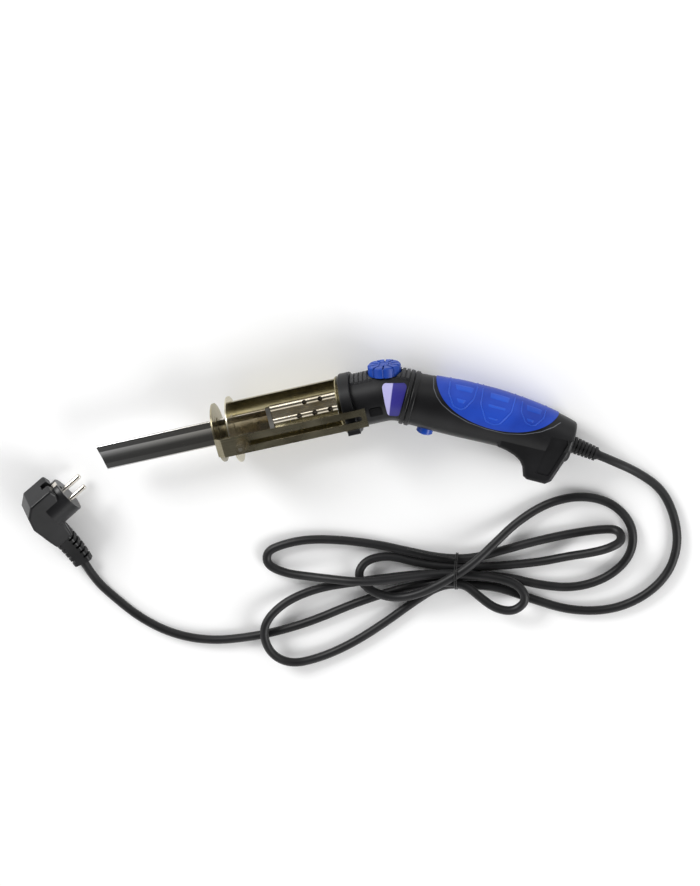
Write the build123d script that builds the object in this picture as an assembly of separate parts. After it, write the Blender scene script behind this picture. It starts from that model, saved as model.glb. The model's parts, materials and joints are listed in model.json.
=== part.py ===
from build123d import *
import math
import os

os.makedirs("parts", exist_ok=True)

# A mains hot knife for cutting foam, lying on its side with its cord and plug beside it.
# Tool frame: origin where the head axis meets the handle axis, -X to the blade tip, +Z to the
# dial side, -Y to the side with the guide arm. Head and handle frames share that origin and run
# their X along their own axes. Lengths in millimetres, angles in degrees.
HEAD_SLOPE = 14.3
HANDLE_SLOPE = 14.0
HEAD = Location((0, 0, 0), (0, -HEAD_SLOPE, 0))
HANDLE = Location((0, 0, 0), (0, HANDLE_SLOPE, 0))

# Resting pose: far side down on the guard disc, the collar and the handle.
REST_ROLL = -87.5827
REST_PITCH = 2.1301
REST_SHIFT = (44.440, 26.204, 27.346)

WALL = 2.6
GAP = 0.3

# Elbow housing
HOUSING_R = 23.8
ELBOW_BEND_R = 45.0
HOUSING_FRONT = -35.5
HOUSING_REAR = 15.2
SPIGOT_R = 21.4
SPIGOT_FRONT = -46.0
BEAD_R = 25.8
BEAD_LENGTH = 4.0
NECK_R = 17.2
NECK_BORE_R = 14.0
NECK_END = 26.6
NECK_FLANGE_R = 20.4
NECK_FLANGE = 2.6

# Dial knob
KNOB_LEAN = 4.5
KNOB_X = -7.8
KNOB_SEAT_Z = 18.2
KNOB_R = 15.3
KNOB_HEIGHT = 9.4
KNOB_LOBES = 10
KNOB_SHAFT_R = 3.0
SHAFT_FIT = 0.05
KNOB_POCKET_R = 16.1
PAD_RISE = 1.9
PAD_PITCH = 4.2
KNOB = Location((KNOB_X, 0, KNOB_SEAT_Z), (0, -KNOB_LEAN, 0))

# Metal front end, distances along the head axis
COLLAR_R = 28.3
FLANGE_R = 26.6
SHEET = 1.2
SHIELD_R = 25.0
SHIELD_SHEET = 0.8
SHIELD_FRONT = -152.0
SHIELD_REAR = -49.8
DISC_R = 31.2
DISC_Z = -1.0
GUIDE_Z = -7.2
GUIDE_WIDTH = 17.4
GUIDE_SHEET = 1.4
GUIDE_Y = -31.8
GUIDE_FRONT = -161.5
GUIDE_REAR = -24.5
GUIDE_SLOT = 4.8
GUIDE_SLOT_FRONT = -149.5
GUIDE_SLOT_REAR = -29.0
FOOT_X = -167.0
FOOT_R = 27.8
STUD_X = -142.6
STUD_R = 2.0
BLADE_WIDTH = 24.8
BLADE_Z = -0.5
WINDOW_HALF = 13.6
BLADE_THICK = 3.4
BLADE_REAR = -115.4
BLADE_TIP = -283.0
BLADE_RAKE = 11.5
SLEEVE_FRONT = -115.0
SLEEVE_REAR = -50.0
SLEEVE_Z = 4.7
ROLL_PITCH = 12.0
ROLL_R = 3.1
SLEEVE_SHEET = 0.8
HEATER_ROD_R = 1.4
INSULATOR_REAR = -33.5
TANG_REAR = -36.0
PIN_X = -40.0
PIN_R = 1.25
PIN_HALF = 8.0

# Handle, distances along the handle axis: x, centre height, half height, half width
HANDLE_SECTIONS = [
    (21.0, 0.0, 24.3, 24.0),
    (34.0, 0.5, 25.0, 23.2),
    (70.0, 1.8, 26.2, 22.2),
    (105.0, 2.0, 25.4, 21.6),
    (138.0, 0.2, 23.6, 20.6),
    (160.0, -1.6, 21.0, 19.4),
    (172.0, -2.6, 18.6, 17.6),
]
HANDLE_FRONT = 15.6
BARREL_R = 24.7
HANDLE_END = 171.0
PLATE_END = 23.8
POMMEL_HALF = 18.0
PANEL_DEPTH = 0.8
FOOT_ROUND = 3.6
GRIP_DEPTH = 1.6
GRIP_PROUD = 0.7

# Trigger button
TRIGGER_X = 36.8
TRIGGER_R = 7.6
TRIGGER_TRAVEL = 3.5
TRIGGER_TIP = -31.2

# Mains cord and plug
CORD_D = 8.4
FLOOR = CORD_D / 2 + 0.1

parts = {}


def x_cylinder(radius, start, end, y=0.0, z=0.0):
    """Cylinder along X between two stations."""
    return Pos((start + end) / 2, y, z) * Rot(0, 90, 0) * Cylinder(radius, end - start)


def y_cylinder(radius, start, end, x=0.0, z=0.0):
    """Cylinder along Y between two depths."""
    return Pos(x, (start + end) / 2, z) * Rot(90, 0, 0) * Cylinder(radius, end - start)


def block(x0, x1, y0, y1, z0, z1):
    """Box between two corners."""
    centre = Pos((x0 + x1) / 2, (y0 + y1) / 2, (z0 + z1) / 2)
    return centre * Box(x1 - x0, y1 - y0, z1 - z0)


def x_tube(outer, inner, start, end):
    """Round tube along X."""
    return x_cylinder(outer, start, end) - x_cylinder(inner, start - 1, end + 1)


def x_section(x, z, height, width):
    """Elliptical face across the X axis."""
    plane = Plane(origin=(x, 0, z), x_dir=(0, 1, 0), z_dir=(1, 0, 0))
    return plane * Ellipse(width, height)


def side_prism(face_points, y0, y1, radius=0.0):
    """Outline drawn in X and Z, extruded from y0 to y1."""
    plane = Plane(origin=(0, y1, 0), x_dir=(1, 0, 0), z_dir=(0, -1, 0))
    outline = make_face(Polyline(*face_points, close=True))
    if radius:
        outline = fillet(outline.vertices(), radius)
    return extrude(plane * outline, y1 - y0)


NEAR = block(-400, 400, -120, 0, -200, 200)
FAR = block(-400, 400, 0, 120, -200, 200)


# ---- elbow housing ----
def elbow_path(start, end):
    first = (HEAD * Pos(start, 0, 0)).position
    last = (HANDLE * Pos(end, 0, 0)).position
    return FilletPolyline(first, (0, 0, 0), last, radius=ELBOW_BEND_R)


def elbow_tube(radius, start=HOUSING_FRONT, end=HOUSING_REAR):
    """Solid round bar that follows the elbow."""
    path = elbow_path(start, end)
    return sweep(Plane(origin=path @ 0, z_dir=path % 0) * Circle(radius), path)


HEAD_SCREWS = [(-25.0, -15.5), (7.0, -17.5), (-22.0, 13.5)]
HANDLE_SCREWS = [(33.0, 17.5), (84.0, -15.5), (128.0, 11.8), (148.0, -30.0)]
BOSS_R = 3.6
SCREW_R = 1.5
SCREW_HEAD_R = 2.8


def boss_group(spots, reach):
    return [y_cylinder(BOSS_R, -reach, reach, x, z) for x, z in spots]


def screw(x, z, head_y, tip_y):
    """Pan head screw along Y with a crossed slot."""
    shank = y_cylinder(SCREW_R, tip_y, head_y, x, z)
    cap = y_cylinder(SCREW_HEAD_R, head_y, head_y + 2.0, x, z)
    slot = block(x - 2, x + 2, head_y + 1.1, head_y + 3, z - 0.35, z + 0.35)
    cross = block(x - 0.35, x + 0.35, head_y + 1.1, head_y + 3, z - 2, z + 2)
    return shank + cap - slot - cross


def screw_holes(spots, head_y, tip_y):
    holes = [y_cylinder(SCREW_R + 0.05, tip_y - 0.1, head_y + 1, x, z) for x, z in spots]
    wells = [y_cylinder(SCREW_HEAD_R + 0.2, head_y - 0.02, 60, x, z) for x, z in spots]
    return holes + wells


def housing():
    bead = HANDLE * x_cylinder(BEAD_R, HOUSING_REAR - BEAD_LENGTH, HOUSING_REAR)
    bead = fillet(bead.edges(), 1.2)
    spigot = HEAD * x_cylinder(SPIGOT_R, SPIGOT_FRONT, HOUSING_FRONT + 2)
    skin = elbow_tube(HOUSING_R) + bead + spigot
    pocket = KNOB * Pos(0, 0, 10) * Cylinder(KNOB_POCKET_R, 20)
    skin = skin - pocket
    cavity = elbow_tube(HOUSING_R - WALL, HOUSING_FRONT + 2, HOUSING_REAR - WALL)
    cavity = cavity - KNOB * Pos(0, 0, 10 - WALL) * Cylinder(KNOB_POCKET_R + WALL, 20)
    front_bore = HEAD * x_cylinder(SPIGOT_R - WALL, SPIGOT_FRONT - 1, HOUSING_FRONT + 3)
    neck = HANDLE * x_cylinder(NECK_R, HOUSING_REAR - 1, NECK_END)
    neck_flange = HANDLE * x_cylinder(NECK_FLANGE_R, NECK_END - NECK_FLANGE, NECK_END)
    neck_bore = HANDLE * x_cylinder(NECK_BORE_R, HOUSING_REAR - 4, NECK_END + 1)
    bosses = [boss & skin for boss in boss_group(HEAD_SCREWS, 24)]
    shell = skin + neck + neck_flange - cavity - front_bore - neck_bore
    for boss in bosses:
        shell = shell + boss
    shaft_hole = KNOB * Pos(0, 0, -5) * Cylinder(KNOB_SHAFT_R + 0.4, 14)
    shell = shell - shaft_hole
    for hole in screw_holes(HEAD_SCREWS, 14.0, -12.0):
        shell = shell - hole
    side_pocket = side_prism([(-23, -12.5), (-10.5, -12.5), (-10.5, -2.5), (-23, -2.5)], -30, -20.8, 2.2)
    return shell - HEAD * side_pocket


shell = housing()
parts["head_shell_near"] = shell & NEAR
parts["head_shell_far"] = shell & FAR
screws = [screw(x, z, 14.0, -12.0) for x, z in HEAD_SCREWS]
parts["head_screws"] = Compound(children=screws)


def rib_pads():
    """Ribbed thumb pads on top of the elbow, ahead of and behind the dial."""
    raised = elbow_tube(HOUSING_R + PAD_RISE, HOUSING_FRONT + 0.5) - elbow_tube(HOUSING_R)
    pocket = KNOB * Pos(0, 0, 5) * Cylinder(KNOB_POCKET_R + 0.9, 30)
    front = raised & (HEAD * block(-34.5, -12, -13, 13, 10, 40))
    rear = raised & (HANDLE * block(-12, 10.6, -13, 13, 10, 40))
    pads = front + rear - pocket
    core = elbow_tube(HOUSING_R + 0.5)
    for k in range(4):
        start = PAD_PITCH * k
        front_groove = HEAD * block(start - 31.4, start - 30.0, -16, 16, HOUSING_R - 4.8, 40)
        rear_groove = HANDLE * block(start - 2.4, start - 1.0, -16, 16, HOUSING_R - 4.8, 40)
        pads = pads - (front_groove - core) - (rear_groove - core)
    return pads


parts["rib_pads"] = rib_pads()


def name_plate():
    """Blank rounded plate wrapped on the near side of the elbow."""
    outline = [(-9.6, 15.0), (14.4, 15.4), (6.4, -15.6), (-3.4, -15.2)]
    prism = side_prism(outline, -40, -5, 3.4)
    return (elbow_tube(HOUSING_R + 0.5) - elbow_tube(HOUSING_R)) & prism


parts["name_plate"] = name_plate()


# ---- dial ----
def control_knob():
    base = 0.5
    body = Pos(0, 0, base + KNOB_HEIGHT / 2) * Cylinder(KNOB_R, KNOB_HEIGHT)
    body = chamfer(body.edges().group_by(Axis.Z)[-1], 1.2)
    for k in range(KNOB_LOBES):
        turn = Rot(0, 0, 360 / KNOB_LOBES * (k + 0.5))
        flute = turn * Pos(KNOB_R + 0.5, 0, 10) * Cylinder(1.5, 30)
        ray = turn * Pos(11.5, 0, base + KNOB_HEIGHT) * Box(11, 1.5, 3.0)
        body = body - flute - ray
    body = body - Pos(0, 0, base + KNOB_HEIGHT) * (Cylinder(5.0, 1.6) - Cylinder(4.0, 1.6))
    stem = Pos(0, 0, -5) * Cylinder(KNOB_SHAFT_R, 12)
    return KNOB * (body + stem)


parts["control_knob"] = control_knob()
pot = Pos(0, 0, -WALL - 4.3) * Cylinder(8.5, 8.4) + Pos(0, 0, -WALL - 9.5) * Box(12, 9, 2.4)
pot = pot - Pos(0, 0, -WALL - 3.5) * Cylinder(KNOB_SHAFT_R + SHAFT_FIT, 10.6)
parts["dial_potentiometer"] = KNOB * pot


# ---- collar, flange, shield, guard disc ----
def collar():
    band = x_tube(COLLAR_R, SPIGOT_R, SPIGOT_FRONT, HOUSING_FRONT)
    band = fillet(band.edges().filter_by(GeomType.CIRCLE).sort_by(SortBy.RADIUS)[-2:], 1.0)
    lug = block(-45.0, -33.5, -33.6, -17.0, GUIDE_Z - 14.0, GUIDE_Z - 9.0)
    lug = fillet(lug.edges().filter_by(Axis.X), 1.0)
    lug = lug - x_cylinder(HOUSING_R + 0.6, HOUSING_FRONT, -20)
    return band + (lug - x_cylinder(COLLAR_R - 1.5, -60, -20))


parts["collar"] = HEAD * collar()


def front_flange():
    plate = x_cylinder(FLANGE_R, SPIGOT_FRONT - SHEET - 2.2, SPIGOT_FRONT - 2.2)
    hub = x_cylinder(SPIGOT_R - 1.5, SPIGOT_FRONT - 2.4, SPIGOT_FRONT)
    part = plate + hub
    part = part - block(-60, -40, -2.5, 2.5, SLEEVE_Z - 5.2, SLEEVE_Z + 5.2)
    for angle in (60, 180, 300):
        x, y, z = 0, 15.5 * math.cos(math.radians(angle)), 15.5 * math.sin(math.radians(angle))
        part = part - x_cylinder(1.6, -60, -40, y, z)
    return part


parts["front_flange"] = HEAD * front_flange()


def flange_screws():
    made = []
    for angle in (60, 180, 300):
        y, z = 15.5 * math.cos(math.radians(angle)), 15.5 * math.sin(math.radians(angle))
        shank = x_cylinder(1.6, SPIGOT_FRONT - 3.4, SPIGOT_FRONT + 8, y, z)
        cap = x_cylinder(2.9, SPIGOT_FRONT - 5.2, SPIGOT_FRONT - 3.4, y, z)
        slot = block(SPIGOT_FRONT - 6, SPIGOT_FRONT - 4.4, y - 3, y + 3, z - 0.4, z + 0.4)
        made.append(HEAD * (shank + cap - slot))
    return Compound(children=made)


parts["flange_screws"] = flange_screws()


def insulator():
    """Ceramic block behind the flange that grips the blade tang."""
    block_body = x_cylinder(SPIGOT_R - WALL - 0.05, SPIGOT_FRONT, INSULATOR_REAR)
    block_body = block_body - block(-47, TANG_REAR, -0.7, 0.7, SLEEVE_Z - 4.5, SLEEVE_Z + 4.5)
    for angle in (60, 180, 300):
        y, z = 15.5 * math.cos(math.radians(angle)), 15.5 * math.sin(math.radians(angle))
        block_body = block_body - x_cylinder(1.6, -47, -37.9, y, z)
    return block_body - y_cylinder(PIN_R, -PIN_HALF, PIN_HALF, PIN_X, SLEEVE_Z - 2.0)


parts["tang_insulator"] = HEAD * insulator()


def heat_shield():
    """Half tube behind the blade, open to the near side."""
    tube = x_tube(SHIELD_R, SHIELD_R - SHIELD_SHEET, SHIELD_FRONT, SPIGOT_FRONT - SHEET - 2.2)
    half = tube & block(-200, 0, 0, 40, -40, 40)
    return half


parts["heat_shield"] = HEAD * heat_shield()


def disc_blank(x, radius, thick):
    return Pos(0, 0, DISC_Z) * x_cylinder(radius, x - thick, x)


def blade_window(x, thick, spare):
    low, high = x - thick - 1, x + 1
    return block(low, high, -3.0 - spare, 3.0 + spare, BLADE_Z - WINDOW_HALF, BLADE_Z + WINDOW_HALF)


def guard_disc():
    """Round guard at the front of the shield with a rearward tab for the clamp stud."""
    disc = disc_blank(SHIELD_FRONT, DISC_R, SHEET) - blade_window(SHIELD_FRONT, SHEET, 0.6)
    z0, z1 = GUIDE_Z - 6.5, GUIDE_Z + 6.5
    tab = block(SHIELD_FRONT - SHEET, STUD_X + 7, -30.0, -28.8, z0, z1)
    return disc + tab


parts["guard_disc"] = HEAD * (guard_disc() - y_cylinder(STUD_R, -34, -20, STUD_X, GUIDE_Z))


def guide_stud():
    stud = y_cylinder(STUD_R, -47.0, -27.0, STUD_X, GUIDE_Z)
    head = y_cylinder(3.6, -28.8, -26.6, STUD_X, GUIDE_Z)
    return stud + head


parts["guide_stud"] = HEAD * guide_stud()


# ---- guide ----
def guide_arm():
    """Slotted depth guide: arm along the near side, folded to a round foot plate."""
    z0, z1 = GUIDE_Z - GUIDE_WIDTH / 2, GUIDE_Z + GUIDE_WIDTH / 2
    arm = block(GUIDE_FRONT, GUIDE_REAR, GUIDE_Y - GUIDE_SHEET, GUIDE_Y, z0, z1)
    slot = SlotOverall(GUIDE_SLOT_REAR - GUIDE_SLOT_FRONT, GUIDE_SLOT)
    middle = (GUIDE_SLOT_REAR + GUIDE_SLOT_FRONT) / 2
    plane = Plane(origin=(middle, 0, GUIDE_Z), x_dir=(1, 0, 0), z_dir=(0, -1, 0))
    arm = arm - extrude(plane * slot, 60)
    y_in = -26.5
    fold = [
        (GUIDE_FRONT, GUIDE_Y),
        (GUIDE_FRONT, GUIDE_Y - GUIDE_SHEET),
        (FOOT_X - GUIDE_SHEET, y_in - 1.2),
        (FOOT_X - GUIDE_SHEET, y_in + 2),
        (FOOT_X, y_in + 2),
        (FOOT_X, y_in),
    ]
    face = make_face(Polyline(*fold, close=True))
    bend = Pos(0, 0, z0) * extrude(face, GUIDE_WIDTH)
    foot = disc_blank(FOOT_X, FOOT_R, GUIDE_SHEET) - blade_window(FOOT_X, GUIDE_SHEET, 0.8)
    return arm + bend + foot


parts["guide_arm"] = HEAD * guide_arm()


def thumb_nut():
    barrel = y_cylinder(4.6, -46.5, GUIDE_Y - GUIDE_SHEET - 1.6, STUD_X, GUIDE_Z)
    washer = y_cylinder(6.4, GUIDE_Y - GUIDE_SHEET - 1.6, GUIDE_Y - GUIDE_SHEET - 0.15, STUD_X, GUIDE_Z)
    nut = barrel + washer
    for k in range(18):
        angle = 2 * math.pi * k / 18
        x, z = STUD_X + 4.75 * math.cos(angle), GUIDE_Z + 4.75 * math.sin(angle)
        nut = nut - y_cylinder(0.45, -45.5, -36.0, x, z)
    bore = y_cylinder(STUD_R + SHAFT_FIT, -60, -20, STUD_X, GUIDE_Z)
    return nut - bore


parts["thumb_nut"] = HEAD * thumb_nut()


# ---- blade and heater ----
def blade():
    """Flat bar with rounded edges, a shallow hollow each side and a narrow tang."""
    rake = math.tan(math.radians(BLADE_RAKE)) * BLADE_WIDTH / 2
    half = BLADE_WIDTH / 2
    outline = [
        (BLADE_TIP - rake, BLADE_Z + half),
        (BLADE_REAR, BLADE_Z + half),
        (BLADE_REAR, BLADE_Z - half),
        (BLADE_TIP + rake, BLADE_Z - half),
    ]
    bar = side_prism(outline, -BLADE_THICK / 2, BLADE_THICK / 2)
    long_edges = bar.edges().filter_by(Axis.X)
    bar = fillet(long_edges, BLADE_THICK / 2 - 0.05)
    for side in (-1, 1):
        hollow = Pos(0, side * (BLADE_THICK / 2 + 29.4), BLADE_Z) * x_cylinder(30.0, -300, -119)
        bar = bar - hollow
    tang = block(BLADE_REAR - 1, TANG_REAR, -0.7, 0.7, SLEEVE_Z - 4.5, SLEEVE_Z + 4.5)
    return bar + (tang - y_cylinder(PIN_R, -5, 5, PIN_X, SLEEVE_Z - 2.0))


parts["blade"] = HEAD * blade()


def sleeve_outline(radius, thick):
    shape = Pos(0, SLEEVE_Z) * Rectangle(2 * thick, ROLL_PITCH)
    for z in (SLEEVE_Z - ROLL_PITCH / 2, SLEEVE_Z + ROLL_PITCH / 2):
        shape = shape + Pos(0, z) * Circle(radius)
    return shape


def sleeve():
    """Pressed heater sleeve: flat middle between two rolled edges, closed at the front."""
    plane = Plane(origin=(SLEEVE_FRONT, 0, 0), x_dir=(0, 1, 0), z_dir=(1, 0, 0))
    length = SLEEVE_REAR - SLEEVE_FRONT
    outer = extrude(plane * sleeve_outline(ROLL_R, 2.3), length)
    inner = extrude(plane * sleeve_outline(ROLL_R - SLEEVE_SHEET, 2.3 - SLEEVE_SHEET), length)
    tube = outer - Pos(SLEEVE_SHEET, 0, 0) * inner
    tube = tube - block(-120, -110, -0.7, 0.7, SLEEVE_Z - 4.5, SLEEVE_Z + 4.5)
    for x in (-90, -75, -60):
        tube = tube - y_cylinder(2.6, -10, 0, x, SLEEVE_Z - ROLL_PITCH / 2)
    for x in (-82, -67):
        tube = tube - y_cylinder(2.3, -10, 0, x, SLEEVE_Z + ROLL_PITCH / 2)
    return tube


tube = sleeve()
parts["heater_sleeve_near"] = HEAD * (tube & NEAR)
parts["heater_sleeve_far"] = HEAD * (tube & FAR)
core = []
for roll_z in (SLEEVE_Z - ROLL_PITCH / 2, SLEEVE_Z + ROLL_PITCH / 2):
    core.append(x_cylinder(HEATER_ROD_R, -112, -53, 0, roll_z))
parts["heater_core"] = HEAD * Compound(children=core)
rivet = y_cylinder(PIN_R, -PIN_HALF, PIN_HALF, PIN_X, SLEEVE_Z - 2.0)
parts["tang_pin"] = HEAD * rivet


def blade_clip():
    """Small dark bracket that holds the blade root at the front of the sleeve."""
    half = BLADE_WIDTH / 2
    clip = block(-119.5, -115.4, -2.9, 2.9, BLADE_Z - half - 0.65, BLADE_Z + half + 0.65)
    inside = block(-121, -115, -1.75, 1.75, BLADE_Z - half - 0.05, BLADE_Z + half + 0.05)
    return clip - inside


parts["blade_clip"] = HEAD * blade_clip()


# ---- handle ----
def handle_loft(inset, start=0, end=len(HANDLE_SECTIONS)):
    faces = []
    for x, z, height, width in HANDLE_SECTIONS[start:end]:
        faces.append(x_section(x, z, height - inset, width - inset))
    return loft(faces)


def pommel(inset):
    """Foot below the rear of the handle, its front edge sweeping out of the barrel."""
    d = inset
    outline = [
        (104 + d, -8),
        (104 + d, -19.5 + d),
        (113 + d, -20.9 + d),
        (122 + d, -23.8 + d),
        (128 + d, -27.6 + d),
        (131.6 + d, -32.6 + d),
        (134.6 + d, -41.0 + d),
        (138.5 + d, -43.2 + d),
        (156.0 - d, -43.2 + d),
        (161.0 - d, -39.0 + d),
        (169.0 - d, -12.0),
        (HANDLE_END - d, -3),
        (HANDLE_END - d, 6),
        (140, 8),
    ]
    return side_prism(outline, -POMMEL_HALF + d, POMMEL_HALF - d, 1.6)


def handle_skin():
    barrel = x_cylinder(BARREL_R, HANDLE_FRONT, 21.0)
    bead = x_cylinder(BEAD_R, HANDLE_FRONT + 0.4, HANDLE_FRONT + 4.6)
    bead = fillet(bead.edges(), 1.2)
    body = handle_loft(0)
    foot = pommel(0)
    side_edges = foot.edges().group_by(Axis.Y)[0] + foot.edges().group_by(Axis.Y)[-1]
    foot = fillet(side_edges, FOOT_ROUND)
    body = body & block(0, HANDLE_END, -40, 40, -60, 60)
    body = fillet(body.edges().group_by(Axis.X)[-1], 4.0)
    return barrel + bead + body + foot


def grip_prism(spread=0.0):
    top = 40.0
    lower = Spline(
        (34.5 - spread, 26.0),
        (45.5, 13.0 - spread),
        (72, 0.6 - spread),
        (108, -1.2 - spread),
        (137, 9.0 - spread),
        (153 + spread, 24.0),
    )
    edge = Polyline(lower @ 1, (153 + spread, top), (34.5 - spread, top), lower @ 0)
    plane = Plane(origin=(0, 40, 0), x_dir=(1, 0, 0), z_dir=(0, -1, 0))
    return extrude(plane * make_face([lower, *edge.edges()]), 80)


def trigger_hole():
    bore = Pos(TRIGGER_X, 0, -24) * Cylinder(TRIGGER_R + 0.35, 16)
    return bore + Pos(TRIGGER_X, 0, -14) * Cylinder(TRIGGER_R + 1.8, 15)


def handle_shell():
    skin = handle_skin()
    cavity = handle_loft(WALL, 1, len(HANDLE_SECTIONS) - 1)
    cavity = cavity + (x_cylinder(21.2, PLATE_END, 40) & handle_loft(WALL))
    cavity = cavity & block(PLATE_END, HANDLE_END - 4, -40, 40, -60, 60)
    side_room = POMMEL_HALF - PANEL_DEPTH - WALL
    for y0, y1 in ((-40, -side_room), (side_room, 40)):
        cavity = cavity - block(142.0, HANDLE_END, y0, y1, -60, 8)
    foot = pommel(WALL)
    shell = skin - cavity - foot
    bosses = [boss & skin for boss in boss_group(HANDLE_SCREWS, 24)]
    for boss in bosses:
        shell = shell + boss
    ring_bore = x_cylinder(19.5, 0, PLATE_END)
    flange_room = x_cylinder(NECK_FLANGE_R + 0.5, PLATE_END - 0.01, NECK_END + GAP)
    recess = grip_prism() - handle_loft(GRIP_DEPTH)
    shell = shell - ring_bore - flange_room - recess - trigger_hole()
    shell = shell - (RELIEF * Cylinder(RELIEF_NECK_R, 40))
    for hole in screw_holes(HANDLE_SCREWS, 12.0, -12.0):
        shell = shell - hole
    panel = [(149.5, 4.0), (165.0, 4.0), (166.2, 0.0), (157.0, -34.0), (145.0, -34.0)]
    for y0, y1 in ((-40, -POMMEL_HALF + PANEL_DEPTH), (POMMEL_HALF - PANEL_DEPTH, 40)):
        shell = shell - side_prism(panel, y0, y1, 1.5)
    return shell


# Strain relief: leaves the rear face and dips towards the surface below
RELIEF_NECK_R = 6.2
RELIEF_LENGTH = 26.0
RELIEF = Location((HANDLE_END - 1.0, 0, -4.0), (0, 98, 0))


def strain_relief():
    """Ribbed sleeve around the cord: flange inside the shell, taper outside."""
    sleeve_body = Pos(0, 0, 0.5) * Cylinder(RELIEF_NECK_R, 9)
    flange = Pos(0, 0, -4.6) * Cylinder(8.4, 2.4)
    body = sleeve_body + flange + Pos(0, 0, 1 + RELIEF_LENGTH / 2) * Cone(5.6, 4.9, RELIEF_LENGTH)
    for k in range(7):
        radius = 7.9 - 0.22 * k
        body = body + Pos(0, 0, 3.2 + 3.5 * k) * Cylinder(radius, 2.1)
    return RELIEF * (body - Cylinder(CORD_D / 2, 20) - Pos(0, 0, 14) * Cylinder(CORD_D / 2, 60))


shell = handle_shell()
parts["handle_shell_near"] = HANDLE * (shell & NEAR)
parts["handle_shell_far"] = HANDLE * (shell & FAR)
grip = (handle_loft(-GRIP_PROUD) - handle_loft(GRIP_DEPTH)) & grip_prism()
parts["grip_near"] = HANDLE * (grip & NEAR)
parts["grip_far"] = HANDLE * (grip & FAR)
parts["swivel_ring"] = HANDLE * x_tube(19.5, NECK_R + SHAFT_FIT, HANDLE_FRONT, PLATE_END)
parts["handle_screws"] = HANDLE * Compound(children=[screw(x, z, 12.0, -12.0) for x, z in HANDLE_SCREWS])
parts["strain_relief"] = HANDLE * strain_relief()


def trigger_button():
    ball = Pos(0, 0, TRIGGER_TIP + 11.5) * Sphere(11.5)
    column = Pos(0, 0, TRIGGER_TIP + 5.5) * Cylinder(TRIGGER_R, 11)
    cap = ball & column
    base = Pos(0, 0, -20.4) * Cylinder(TRIGGER_R + 1.4, 1.6)
    tail = Pos(0, 0, -17.0) * Cylinder(2.0, 6)
    body = cap + Pos(0, 0, -21.6) * Cylinder(TRIGGER_R, 3.0) + base + tail
    return Pos(TRIGGER_X, 0, 0) * body


parts["trigger_button"] = HANDLE * trigger_button()


def coil_spring(radius, wire, pitch, height):
    path = Helix(pitch=pitch, height=height, radius=radius)
    return sweep(Plane(origin=path @ 0, z_dir=path % 0) * Circle(wire), path)


spring = Pos(TRIGGER_X, 0, -19.2) * coil_spring(3.4, 0.4, 1.6, 6.0)
parts["trigger_spring"] = HANDLE * spring


def switch_body():
    case = block(TRIGGER_X - 8, TRIGGER_X + 13, -8, 8, -12.6, 2)
    case = case - Pos(TRIGGER_X, 0, -12) * Cylinder(2.4, 9)
    tabs = block(TRIGGER_X + 13, TRIGGER_X + 17, -0.4, 0.4, -9, -3)
    return case + tabs


parts["switch_body"] = HANDLE * switch_body()
board = block(56, 106, -14, 14, -2.8, -1.2)
parts["control_board"] = HANDLE * board


def board_parts():
    made = [block(62, 72, -8, 2, -1.2, 9.5), block(82, 92, -10, -2, -1.2, 6)]
    made.append(Pos(78, 6, 3.3) * Cylinder(4.2, 9.0))
    made.append(Pos(98, 5, 2.3) * Cylinder(3.2, 7.0))
    return Compound(children=made)


parts["board_components"] = HANDLE * board_parts()
terminal = block(112, 130, -9, 9, -6, 4)
for y in (-5.5, 0, 5.5):
    terminal = terminal - Pos(121, y, 3) * Cylinder(1.7, 8) - x_cylinder(1.3, 110, 132, y, -2.5)
parts["terminal_block"] = HANDLE * terminal
clamp = block(152, 158, -11, 11, -9.5, 3.5) - (RELIEF * Pos(0, 0, -14) * Cylinder(CORD_D / 2, 60))
parts["cord_clamp"] = HANDLE * clamp

REST = Location(REST_SHIFT) * Rot(0, REST_PITCH, 0) * Rot(REST_ROLL, 0, 0)
for name in parts:
    parts[name] = REST * parts[name]

# ---- mains cord: out of the relief, seven passes through a tie, then to the plug ----
TIE_X = 104.0
LOW = FLOOR + 1.1
DECK = LOW + 7.7
TOP = DECK + 8.9
PLUG_FACE = Vector(-267.5, -85.5, 21.7)
PLUG_TURN = 42.0
PLUG_DIP = 12.0
PLUG_ROLL = 30.0
PLUG = Location(PLUG_FACE, (0, 0, PLUG_TURN)) * Rot(0, PLUG_DIP, 0) * Rot(PLUG_ROLL, 0, 0)


def relief_point(distance):
    return (REST * HANDLE * RELIEF * Pos(0, 0, distance)).position


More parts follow.
